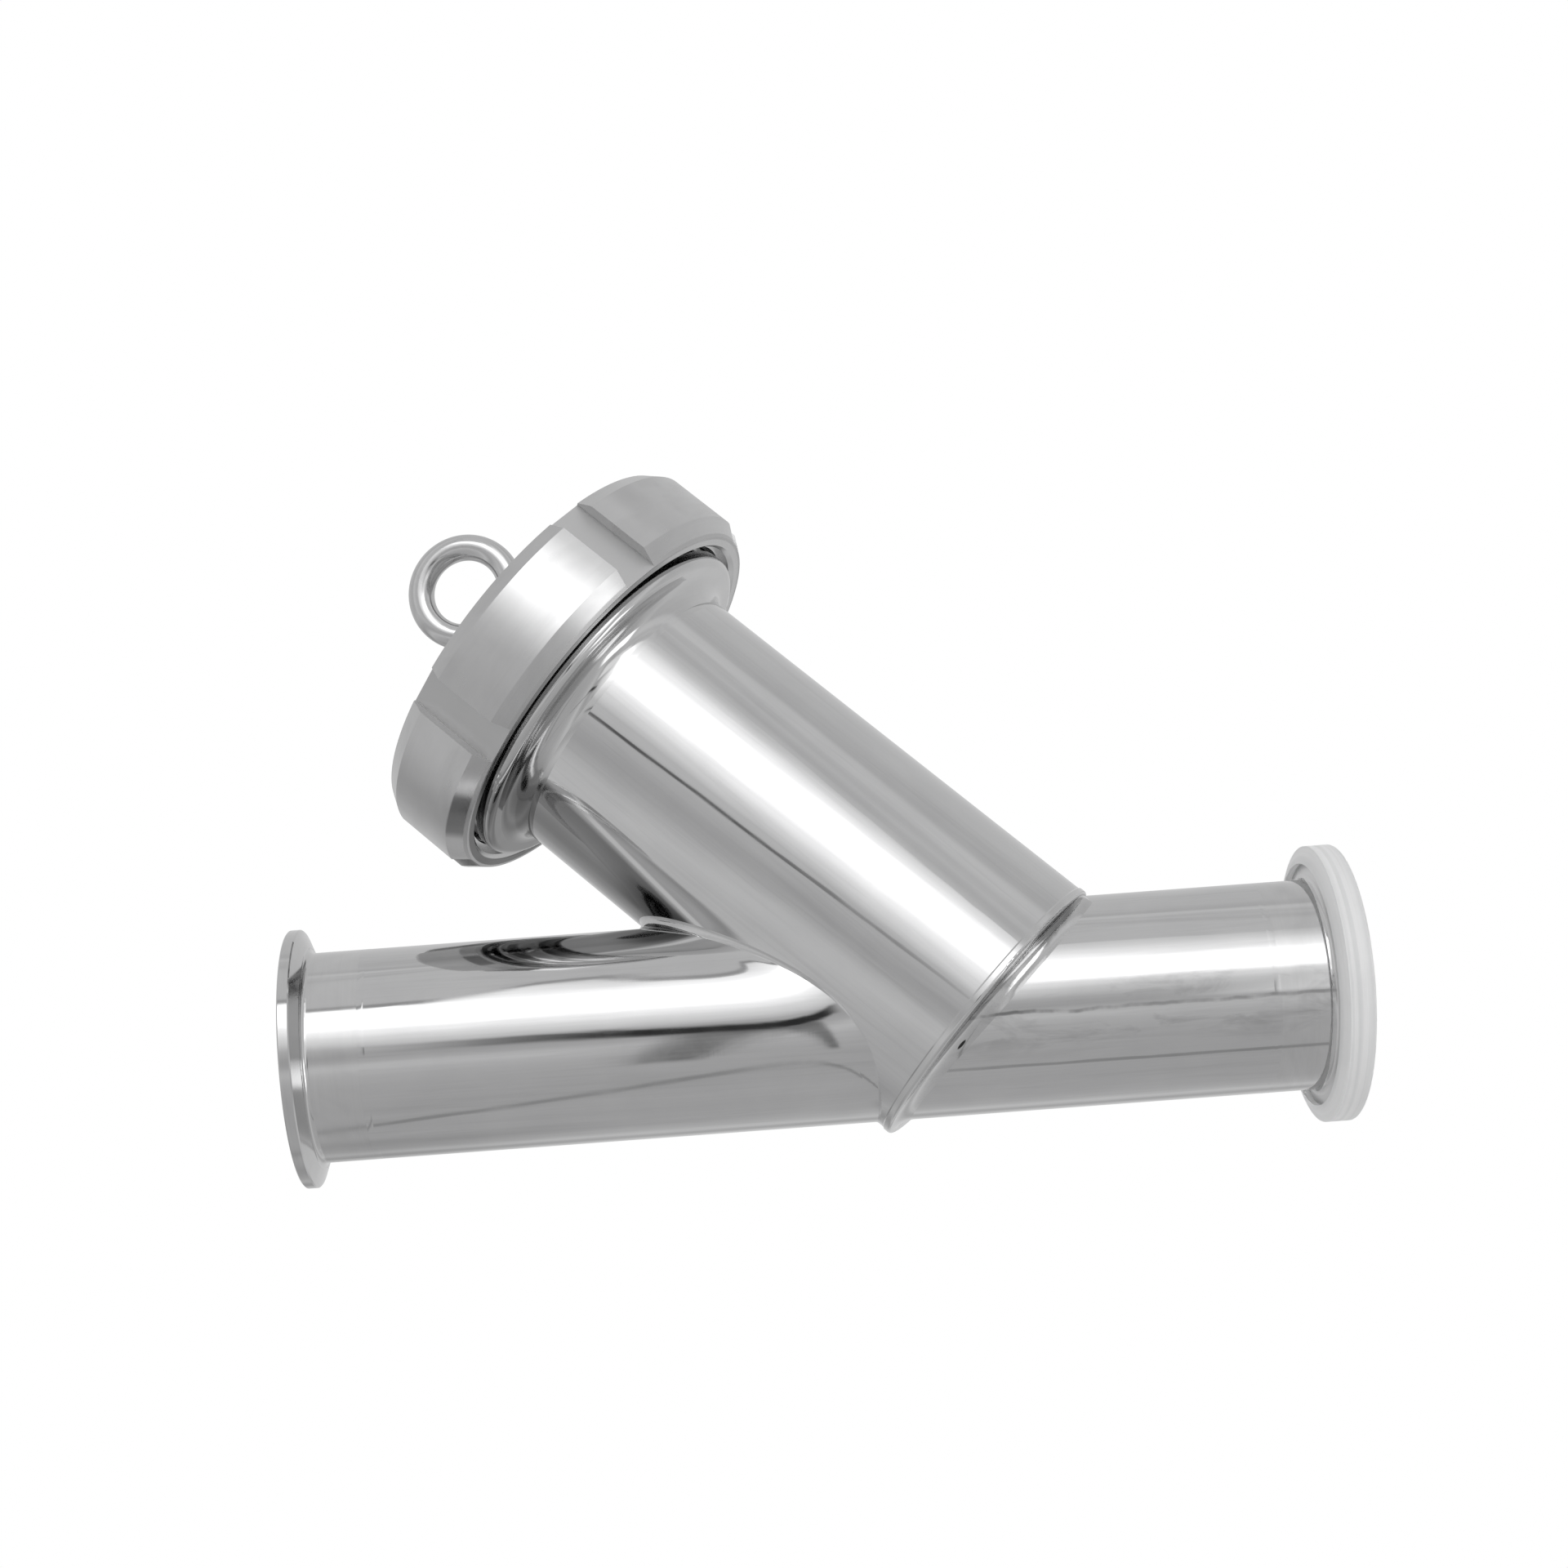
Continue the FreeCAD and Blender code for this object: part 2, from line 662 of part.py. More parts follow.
def save(name, shape):
    """Move a finished node to the part's origin and write it."""
    placed = shape.copy()
    placed.translate(V(-OUTLET_FACE_X, 0, 0))
    placed.exportStep("parts/" + name + ".step")


NODES = {
    "outlet_tube": outlet_tube(),
    "outlet_ferrule": on_run(ferrule(), OUTLET_FACE_X, 1),
    "inlet_tube": inlet_tube(),
    "inlet_ferrule": on_run(ferrule(), INLET_FACE_X, -1),
    "ferrule_welds": both_ferrule_welds(),
    "barrel_tube": barrel_tube(),
    "end_plate": end_plate(),
    "saddle_weld": saddle_weld(),
    "mitre_weld": mitre_weld(),
    "plate_weld": plate_weld(),
    "union_weld": union_weld(),
    "union_male": union_male(),
    "union_seal": union_seal(),
    "round_nut": round_nut(),
    "blank_cap": blank_cap(),
    "eye_stem": eye_stem(),
    "eye_ring": eye_ring(),
    "screen_tube": screen_tube(),
    "screen_mesh": screen_mesh(),
    "screen_top_ring": screen_top_ring(),
    "screen_bottom_ring": screen_bottom_ring(),
    "screen_seam": screen_seam(),
    "screen_bail": screen_bail(),
    "clamp_gasket": on_run(clamp_gasket(), INLET_FACE_X, -1),
}

for node_name, node_shape in NODES.items():
    save(node_name, node_shape)
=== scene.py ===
import math

import bpy
from mathutils import Matrix, Vector

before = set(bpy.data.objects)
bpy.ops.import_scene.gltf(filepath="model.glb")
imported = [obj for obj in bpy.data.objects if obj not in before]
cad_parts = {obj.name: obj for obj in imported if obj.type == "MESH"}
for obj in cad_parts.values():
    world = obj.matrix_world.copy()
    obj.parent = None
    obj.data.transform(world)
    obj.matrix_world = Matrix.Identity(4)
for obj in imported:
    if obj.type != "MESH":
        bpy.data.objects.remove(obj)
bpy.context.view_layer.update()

# ---------------------------------------------------------------- the part's layout, in the row frame
MM = 0.001
CROSSING = Vector((169.3 * MM, 0.0, 0.0))    # where the run's axis and the barrel's axis cross
BARREL_TILT = math.radians(45.0)
BARREL_R = 38.05 * MM
BARREL_BORE = 36.5 * MM        # just outside the bore's wall
RUN_R = 26.0 * MM
RUN_BORE = 25.3 * MM           # just outside the bore's wall

# heights up the barrel's axis and radii round it, in millimetres, for the darkened places
COLLAR_TOP = 126.0
COLLAR_SIDE = 46.8
NUT_REAR = 124.15
NUT_SHOULDER = 144.55
NUT_THREAD_START = NUT_REAR + 3.3
NUT_THREAD_R = 48.3


# ---------------------------------------------------------------- node graphs
DEGREES = 180.0 / math.pi


def grey(value):
    return (value, value, value, 1.0)


class Graph:
    """A node tree built by calls. Each call adds one node and returns its output socket."""

    def __init__(self, tree):
        self.tree = tree
        tree.nodes.clear()

    def add(self, kind, inputs=(), output=0, **settings):
        made = self.tree.nodes.new(kind)
        for name, value in settings.items():
            setattr(made, name, value)
        for key, value in dict(inputs).items():
            if isinstance(value, bpy.types.NodeSocket):
                self.tree.links.new(value, made.inputs[key])
            else:
                made.inputs[key].default_value = value
        return made.outputs[output] if len(made.outputs) else made

    def math(self, operation, first, second=0.0, third=0.0, clamp=False):
        return self.add("ShaderNodeMath", {0: first, 1: second, 2: third},
                        operation=operation, use_clamp=clamp)

    def product(self, *values):
        """All the values multiplied together, from the left."""
        total = values[0]
        for value in values[1:]:
            total = self.math("MULTIPLY", total, value)
        return total

    def highest(self, *values):
        """The largest of the values."""
        top = values[0]
        for value in values[1:]:
            top = self.math("MAXIMUM", top, value)
        return top

    def length(self, x, y):
        return self.math("SQRT", self.math("ADD", self.math("MULTIPLY", x, x), self.math("MULTIPLY", y, y)))

    def degrees_round(self, x, y):
        """Angle of (x, -y) from the -Y side, in degrees."""
        return self.math("MULTIPLY", self.math("ARCTAN2", x, self.math("MULTIPLY", y, -1.0)), DEGREES)

    def remap(self, value, low, high, to_low=0.0, to_high=1.0, smooth=False):
        kind = "SMOOTHSTEP" if smooth else "LINEAR"
        return self.add("ShaderNodeMapRange", {0: value, 1: low, 2: high, 3: to_low, 4: to_high},
                        interpolation_type=kind)

    def ramp(self, value, stops, smooth=False):
        """Grey value by position, from (position, value) pairs in 0..1."""
        out = self.add("ShaderNodeValToRGB", {0: value})
        ramp = out.node.color_ramp
        ramp.interpolation = "EASE" if smooth else "LINEAR"
        while len(ramp.elements) < len(stops):
            ramp.elements.new(1.0)
        for element, (position, shade) in zip(ramp.elements, stops):
            element.position = position
            element.color = grey(shade)
        return out

    def noise(self, vector, scale, detail=2.0, roughness=0.5, distortion=0.0):
        return self.add("ShaderNodeTexNoise", {
            "Vector": vector, "Scale": scale, "Detail": detail,
            "Roughness": roughness, "Distortion": distortion})

    def stretched(self, vector, x, y, z):
        return self.add("ShaderNodeVectorMath", {0: vector, 1: (x, y, z)}, operation="MULTIPLY")

    def vector(self, x, y, z):
        return self.add("ShaderNodeCombineXYZ", {0: x, 1: y, 2: z})

    def split(self, vector):
        node = self.add("ShaderNodeSeparateXYZ", {0: vector}).node
        return node.outputs[0], node.outputs[1], node.outputs[2]

    def mix_colour(self, factor, first, second, blend="MIX"):
        node = self.add("ShaderNodeMix", data_type="RGBA", blend_type=blend).node
        for key, value in ((0, factor), (6, first), (7, second)):
            if isinstance(value, bpy.types.NodeSocket):
                self.tree.links.new(value, node.inputs[key])
            else:
                node.inputs[key].default_value = value
        return node.outputs[2]

    def bump(self, height, distance, normal=None, strength=1.0):
        inputs = {"Height": height, "Distance": distance, "Strength": strength}
        if normal is not None:
            inputs["Normal"] = normal
        return self.add("ShaderNodeBump", inputs)


STEEL_GREY = 0.62              # mean reflectance of the polished steel


def steel_level(srgb):
    """Radiance whose reflection in the polished steel shows as the given 8-bit display level."""
    s = srgb / 255.0
    linear = s / 12.92 if s <= 0.04045 else ((s + 0.055) / 1.055) ** 2.4
    return linear / STEEL_GREY


# ---------------------------------------------------------------- studio
def level_stops(pairs, low, high, top):
    """Ramp stops from (degrees, display level) pairs; the ramp's 1.0 stands for radiance top."""
    return [((degrees - low) / (high - low), min(1.0, steel_level(level) / top)) for degrees, level in pairs]


def studio_world():
    """A grey light tent with a bright window, reflectors, a table with a seam and dark gear, which show
    only as reflections and light: camera and transmission rays see plain white."""
    world = bpy.data.worlds.new("studio")
    bpy.context.scene.world = world
    world.use_nodes = True
    g = Graph(world.node_tree)
    direction = g.add("ShaderNodeTexCoord").node.outputs["Generated"]
    x, y, z = g.split(g.add("ShaderNodeVectorMath", {0: direction}, operation="NORMALIZE"))
    height = g.math("MULTIPLY", g.math("ARCSINE", z), DEGREES)
    turn = g.degrees_round(x, y)
    away = g.math("ABSOLUTE", turn)

    def patch(turns, heights):
        """Soft-edged patch: each range is (fade in from, full from, full to, fade out to)."""
        shape = g.remap(turn, turns[0], turns[1], smooth=True)
        for value, start, end in ((turn, turns[3], turns[2]), (height, heights[0], heights[1]),
                                  (height, heights[3], heights[2])):
            shape = g.math("MULTIPLY", shape, g.remap(value, start, end, smooth=True))
        return shape

    # walls of the tent, by the angle round from the front
    walls = g.ramp(g.remap(away, 0.0, 180.0), level_stops([
        (0, 174), (28, 176), (34, 166), (41, 174), (46, 170), (58, 182), (66, 180),
        (78, 164), (93, 166), (120, 172), (150, 172), (180, 174)], 0, 180, 1.0), smooth=True)
    # table, by elevation
    table = g.ramp(g.remap(height, -90.0, 0.0), level_stops([
        (-90, 156), (-75, 153), (-60, 155), (-50, 156), (-38, 163), (-33, 169), (-28.5, 178), (-25, 175),
        (-21, 160), (-17, 153), (-14, 155), (-11.5, 162), (-8, 167), (-3, 176), (0, 176)], -90, 0, 1.0))
    above_table = g.remap(height, -6.0, 4.0, smooth=True)
    room = g.add("ShaderNodeMix", {0: above_table, 2: table, 3: walls})

    # a dim corner behind on the left
    corner = patch((-179.0, -170.0, -130.0, -96.0), (-66.0, -48.0, -8.0, 12.0))
    room = g.math("MULTIPLY", room, g.remap(corner, 0.0, 1.0, 1.0, 0.80))

    # a seam in the table under the part: slanting on the left, straight on the right
    slant = g.math("MULTIPLY_ADD", g.math("ADD", x, 0.068), 3.97, g.math("ADD", y, 0.124))
    left_seam = g.math("MULTIPLY", g.remap(g.math("ABSOLUTE", slant), 0.060, 0.022, smooth=True),
                       g.remap(x, 0.06, 0.0, smooth=True))
    level = g.math("ABSOLUTE", g.math("ADD", y, 0.11))
    right_seam = g.math("MULTIPLY", g.remap(level, 0.040, 0.022, smooth=True),
                        g.remap(x, 0.06, 0.12, smooth=True))
    seam = g.math("MULTIPLY", g.math("MAXIMUM", left_seam, right_seam), g.remap(z, -0.72, -0.85))
    room = g.math("MULTIPLY", room, g.remap(seam, 0.0, 1.0, 1.0, 0.66))

    # the bright window: its centre line falls to the right, its upper edge is uneven
    centre = g.math("MULTIPLY_ADD", turn, -0.30, 21.0)
    up = g.math("SUBTRACT", height, centre)
    window_top = 2.3
    window_up = g.ramp(g.remap(up, -34.0, 40.0), level_stops([
        (-34, 0), (-31.5, 60), (-30, 172), (-27, 190), (-23, 206), (-19.5, 214), (-15.5, 234), (-12, 244),
        (-9, 266), (-6, 330), (7, 330), (11, 272), (14, 250), (18, 238), (22, 226), (26, 210), (30, 200),
        (34, 194), (40, 190)], -34, 40, window_top))
    window_across = g.ramp(g.remap(turn, -40.0, 40.0), [
        (0.0, 0.0), (0.115, 0.10), (0.14, 0.55), (0.20, 0.92), (0.40, 1.0), (0.62, 1.0),
        (0.72, 0.93), (0.79, 0.84), (0.838, 0.80), (0.850, 0.0), (1.0, 0.0)])
    highest_edge = 60.0
    edge_stops = ((0.0, 34), (0.30, 34), (0.40, 37), (0.425, 48), (0.455, 50), (0.48, 42), (0.51, 38.5),
                  (0.54, 39), (0.58, 46), (0.63, 50), (0.70, 50), (0.80, 46), (1.0, 40))
    upper_edge = g.ramp(g.remap(turn, -40.0, 40.0),
                        [(position, degrees / highest_edge) for position, degrees in edge_stops])
    low_dim = g.math("MULTIPLY", g.remap(turn, 3.0, 10.0, smooth=True),
                     g.remap(up, -8.0, -13.0, smooth=True))
    window_up = g.math("MULTIPLY", window_up, g.remap(low_dim, 0.0, 1.0, 1.0, 0.78))
    below_edge = g.math("SUBTRACT", g.math("MULTIPLY", upper_edge, highest_edge), height)
    open_part = g.remap(below_edge, -1.0, 1.0, smooth=True)
    window = g.math("MULTIPLY", g.math("MULTIPLY", window_up, window_top),
                    g.math("MULTIPLY", window_across, open_part))
    lit = g.math("MAXIMUM", room, window)
    # the dark frame over the window's upper edge, on its left
    frame_line = g.product(
        g.remap(below_edge, 0.0, -1.6, smooth=True), g.remap(below_edge, -5.5, -3.0, smooth=True),
        g.remap(turn, 6.0, -2.0, smooth=True), g.remap(turn, -36.0, -28.0, smooth=True))
    lit = g.math("MULTIPLY", lit, g.math("SUBTRACT", 1.0, g.math("MULTIPLY", frame_line, 0.40)))

    # reflectors low on the right
    low_right = patch((6.0, 17.0, 30.0, 44.0), (-26.0, -16.0, 10.0, 24.0))
    lit = g.math("MAXIMUM", lit, g.math("MULTIPLY", low_right, steel_level(212)))
    far_right = patch((50.0, 57.0, 73.0, 79.0), (-37.0, -27.0, -11.0, -3.0))
    lit = g.math("MAXIMUM", lit, g.math("MULTIPLY", far_right, steel_level(285)))

    # dark gear in front: a thin rail at the left, a bulky piece in the middle with its stand below
    rail = g.math("MULTIPLY", patch((-36.0, -30.0, -18.0, -12.0), (-7.2, -6.5, -5.6, -4.9)),
                  g.remap(turn, -17.0, -25.0, 0.35, 0.80))
    skewed = g.math("MULTIPLY_ADD", g.math("MAXIMUM", g.math("ADD", turn, 4.0), 0.0), 1.3, height)
    gear = g.math("MULTIPLY", g.remap(turn, -8.5, -1.5, smooth=True), g.remap(turn, 8.0, 4.0, smooth=True))
    gear_height = g.math("MULTIPLY", g.remap(skewed, -16.5, -12.5, smooth=True),
                         g.remap(skewed, -5.5, -8.5, smooth=True))
    gear = g.math("MULTIPLY", gear, gear_height)
    leaning = g.math("MULTIPLY_ADD", g.math("ADD", height, 20.0), -0.06, turn)
    stand = g.math("MULTIPLY", g.remap(leaning, -1.4, 0.0, smooth=True),
                   g.remap(leaning, 2.2, 1.2, smooth=True))
    stand_height = g.math("MULTIPLY", g.remap(height, -50.0, -44.0, smooth=True),
                          g.remap(height, -14.0, -18.0, smooth=True))
    stand = g.math("MULTIPLY", stand, stand_height)
    dark = g.highest(rail, g.math("MULTIPLY", gear, 0.93), g.math("MULTIPLY", stand, 0.62))
    lit = g.math("MULTIPLY", lit, g.math("SUBTRACT", 1.0, dark))

    colour = g.vector(lit, lit, g.math("MULTIPLY", lit, 1.005))
    tent = g.add("ShaderNodeBackground", {"Color": colour, "Strength": 1.0})
    paper = g.add("ShaderNodeBackground", {"Color": grey(1.0), "Strength": 1.0})
    path = g.add("ShaderNodeLightPath").node
    seen = g.math("MAXIMUM", path.outputs["Is Camera Ray"], path.outputs["Is Transmission Ray"])
    shown = g.add("ShaderNodeMixShader", {0: seen, 1: tent, 2: paper})
    g.add("ShaderNodeOutputWorld", {0: shown})


FLOOR_Z = -0.34
FLOOR_HALF = 20.0


def studio_floor():
    """Plain pale floor, well below the part and left out of the steel's reflections."""
    mesh = bpy.data.meshes.new("floor")
    corners = [(-1, -1), (1, -1), (1, 1), (-1, 1)]
    mesh.from_pydata([(x * FLOOR_HALF, y * FLOOR_HALF, FLOOR_Z) for x, y in corners], [], [(0, 1, 2, 3)])
    floor = bpy.data.objects.new("floor", mesh)
    bpy.context.scene.collection.objects.link(floor)
    material = bpy.data.materials.new("floor_paper")
    material.use_nodes = True
    g = Graph(material.node_tree)
    place = g.add("ShaderNodeTexCoord").node.outputs["Object"]
    cloud = g.noise(place, 1.3, 3.0)
    grain = g.noise(place, 900.0, 2.0)
    colour = g.mix_colour(g.remap(cloud, 0.3, 0.7), grey(0.88), (0.91, 0.91, 0.905, 1.0))
    shader = g.add("ShaderNodeBsdfPrincipled", {
        "Base Color": colour, "Roughness": 0.85, "Normal": g.bump(grain, 0.0001)})
    g.add("ShaderNodeOutputMaterial", {0: shader})
    mesh.materials.append(material)
    floor.visible_glossy = False


# ---------------------------------------------------------------- materials
def new_material(name):
    material = bpy.data.materials.new(name)
    material.use_nodes = True
    return material, Graph(material.node_tree)


def run_place(g):
    """Coordinates with Z along the run, in metres."""
    place = g.add("ShaderNodeTexCoord").node.outputs["Object"]
    return g.add("ShaderNodeMapping", {"Vector": place, "Rotation": (0.0, -math.pi / 2.0, 0.0)})


def barrel_place(g):
    """Coordinates with Z along the barrel's axis, from the axes' crossing, in metres."""
    place = g.add("ShaderNodeTexCoord").node.outputs["Object"]
    moved = g.add("ShaderNodeVectorMath", {0: place, 1: tuple(CROSSING)}, operation="SUBTRACT")
    return g.add("ShaderNodeMapping", {"Vector": moved, "Rotation": (0.0, BARREL_TILT, 0.0)})


def off_barrel(g):
    """Distance outside the barrel's surface, in millimetres."""
    x, y, z = g.split(barrel_place(g))
    return g.math("MULTIPLY", g.math("SUBTRACT", g.length(x, y), BARREL_R), 1000.0)


def off_run(g):
    """Distance outside the run's surface, in millimetres."""
    x, y, z = g.split(run_place(g))
    return g.math("MULTIPLY", g.math("SUBTRACT", g.length(x, y), RUN_R), 1000.0)


def round_barrel(g):
    """Degrees round the barrel's axis (negative to the lower left, 0 is 15 degrees below the front),
    radius in millimetres and height along the axis in millimetres."""
    x, y, z = g.split(barrel_place(g))
    turn = g.math("ADD", g.degrees_round(x, y), 15.0)
    return turn, g.math("MULTIPLY", g.length(x, y), 1000.0), g.math("MULTIPLY", z, 1000.0)


def lower_left(g, turn, full, none):
    """1 over the lower left side, up to a turn of full degrees, fading out at none."""
    edge = g.remap(turn, none, full, smooth=True)
    return g.math("MULTIPLY", edge, g.remap(turn, -150.0, -110.0, smooth=True))


def darkening_edge(g, turn, height):
    """Turn measured along with the darkening's upper edge, which leans a little round the barrel."""
    return g.math("MULTIPLY_ADD", g.math("SUBTRACT", height, 75.0), -0.20, turn)


def barrel_darkening(g):
    """Darkening on the barrel's lower left, from the union down to the crotch, with a darker streak. It
    stands in for dark things reflected in the photo's clean steel."""
    turn, radius, height = round_barrel(g)
    side = g.math("MULTIPLY", g.remap(darkening_edge(g, turn, height), -45.5, -48.0, smooth=True),
                  g.remap(turn, -140.0, -100.0, smooth=True))
    depth = g.math("MULTIPLY", g.remap(height, 66.0, 96.0, 0.66, 0.36),
                   g.remap(height, 48.0, 56.0, smooth=True))
    streak = g.math("MULTIPLY", g.remap(turn, -68.0, -61.0, smooth=True),
                    g.remap(turn, -46.0, -52.0, smooth=True))
    streak = g.math("MULTIPLY", streak, g.math("MULTIPLY", g.remap(height, 92.0, 78.0, smooth=True),
                                               g.remap(height, 50.0, 58.0, smooth=True)))
    clean = g.math("MULTIPLY", g.math("SUBTRACT", 1.0, g.math("MULTIPLY", side, depth)),
                   g.math("SUBTRACT", 1.0, g.math("MULTIPLY", streak, 0.55)))
    return g.math("SUBTRACT", 1.0, clean)


def union_darkening(g):
    """Darkening on the union's flare at the lower left, which stands in for dark things reflected there, and
    painted shade on its thread, for the dark gap behind the nut."""
    turn, radius, height = round_barrel(g)
    side = g.math("MULTIPLY", lower_left(g, turn, -52.0, -24.0),
                  g.remap(radius, COLLAR_SIDE, COLLAR_SIDE + 0.3, 0.66, 0.20))
    # painted shade on the thread, for the dark gap behind the nut
    thread = g.math("MULTIPLY", g.remap(height, COLLAR_TOP + 0.1, COLLAR_TOP + 0.5),
                    g.remap(radius, 44.9, 45.2, 0.0, 0.45))
    return g.math("MAXIMUM", side, thread)


def nut_darkening(g):
    """Darkening on the nut's rear face and on part of its rear chamfer, which stands in for dark things
    reflected there, and painted shade on its thread, for the dark gap behind the nut."""
    turn, radius, height = round_barrel(g)
    face = g.remap(height, NUT_REAR + 0.25, NUT_REAR + 0.05)
    face = g.math("MULTIPLY", face, g.remap(turn, 4.0, -44.0, 0.05, 0.84, smooth=True))
    # painted shade on the thread, for the dark gap behind the nut
    thread = g.product(
        g.remap(height, NUT_THREAD_START, NUT_THREAD_START + 0.3),
        g.remap(radius, NUT_THREAD_R + 0.3, NUT_THREAD_R),
        g.remap(height, NUT_SHOULDER, NUT_SHOULDER - 0.2), 0.50)
    chamfer = g.product(
        g.remap(turn, -66.0, -61.0, smooth=True), g.remap(turn, -44.0, -47.0, smooth=True),
        g.remap(height, NUT_REAR + 4.6, NUT_REAR + 4.1), 0.50)
    return g.highest(face, thread, chamfer)


def pulled_up(g, distance, rise, reach):
    """Height in millimetres of metal drawn up towards a joint, dying away with distance from it."""
    wander = g.noise(g.add("ShaderNodeTexCoord").node.outputs["Object"], 45.0, 1.0, 0.5)
    away = g.math("MAXIMUM", g.math("DIVIDE", distance, reach), 0.0)
    decay = g.math("POWER", math.e, g.math("MULTIPLY", away, -1.0))
    return g.math("MULTIPLY", decay, g.remap(wander, 0.3, 0.7, 0.85 * rise, 1.15 * rise))


def barrel_painted_highlight(g):
    """Painted highlight: a bright line along the darkening's edge."""
    turn, radius, height = round_barrel(g)
    off_line = g.math("ABSOLUTE", g.math("ADD", darkening_edge(g, turn, height), 44.0))
    line = g.remap(off_line, 1.8, 0.5, smooth=True)
    return g.math("MULTIPLY", line, g.math("MULTIPLY", g.remap(height, 50.0, 58.0, smooth=True),
                                           g.remap(height, 108.0, 98.0, smooth=True)))


PIT_X = 161.0          # millimetres along the run
PIT_TURN = -32.4       # degrees round the run, below the front


def inlet_marks_and_reflection(g):
    """A ragged dull line along the inlet tube, cloudy stains beside it, and near the end plate a pit and a
    slanting dark line, which is a painted reflection."""
    place = g.add("ShaderNodeTexCoord").node.outputs["Object"]
    x, y, z = g.split(place)
    along = g.math("MULTIPLY", x, 1000.0)
    turn = g.degrees_round(z, y)
    wander = g.noise(g.stretched(place, 60.0, 0.0, 0.0), 1.0, 3.0, 0.6)
    breaks = g.noise(g.stretched(place, 150.0, 40.0, 40.0), 1.0, 3.0, 0.6)
    line = g.math("ADD", turn, g.remap(wander, 0.3, 0.7, 17.3, 19.9))
    line = g.remap(g.math("ABSOLUTE", line), 1.5, 0.3, smooth=True)
    line = g.math("MULTIPLY", line, g.remap(breaks, 0.36, 0.56, 0.10, 0.42))
    line = g.math("MULTIPLY", line, g.remap(along, 176.0, 200.0, 1.4, 0.8))
    stain = g.noise(g.stretched(place, 55.0, 130.0, 130.0), 1.0, 4.0, 0.62, 0.7)
    stain = g.product(
        g.remap(stain, 0.50, 0.66, 0.0, 0.20), g.remap(turn, -46.0, -30.0, smooth=True),
        g.remap(turn, 6.0, -8.0, smooth=True))
    pit_round = g.math("SUBTRACT", turn, PIT_TURN)
    pit_along = g.math("MULTIPLY_ADD", pit_round, -0.36, g.math("SUBTRACT", along, PIT_X))
    pit = g.math("ADD", g.math("POWER", g.math("MULTIPLY", pit_along, 1.7), 2.0),
                 g.math("POWER", g.math("MULTIPLY", pit_round, 0.38), 2.0))
    pit = g.math("MULTIPLY", g.remap(pit, 1.2, 0.5, smooth=True), g.remap(z, 0.0, -0.001))
    # painted reflection: a slanting dark line near the end plate
    slant_reflection = g.math("SUBTRACT", along, g.math("MULTIPLY_ADD", g.math("SUBTRACT", turn, 16.5), 0.38, 181.9))
    slant_reflection = g.math("ADD", slant_reflection, g.remap(breaks, 0.3, 0.7, -0.8, 0.8))
    slant_reflection = g.remap(g.math("ABSOLUTE", slant_reflection), 1.9, 0.7, 0.0, 0.40, smooth=True)
    slant_reflection = g.math("MULTIPLY", slant_reflection, g.math("MULTIPLY", g.remap(turn, 12.0, 18.0, smooth=True),
                                           g.remap(turn, 46.0, 34.0, smooth=True)))
    inlet_side = g.remap(along, 148.0, 152.0)
    marks_with_reflection = g.math("MULTIPLY", g.highest(line, stain, slant_reflection), inlet_side)
    return g.math("MAXIMUM", marks_with_reflection, g.math("MULTIPLY", pit, 0.93))


def darkened(g, tone, darkening):
    """The tone, darkened by a darkening function of the graph."""
    clean = g.math("SUBTRACT", 1.0, darkening(g))
    return g.mix_colour(1.0, tone, g.vector(clean, clean, clean), "MULTIPLY")


PICKLED_TONE = 0.70
PICKLED_ROUGH = 0.42


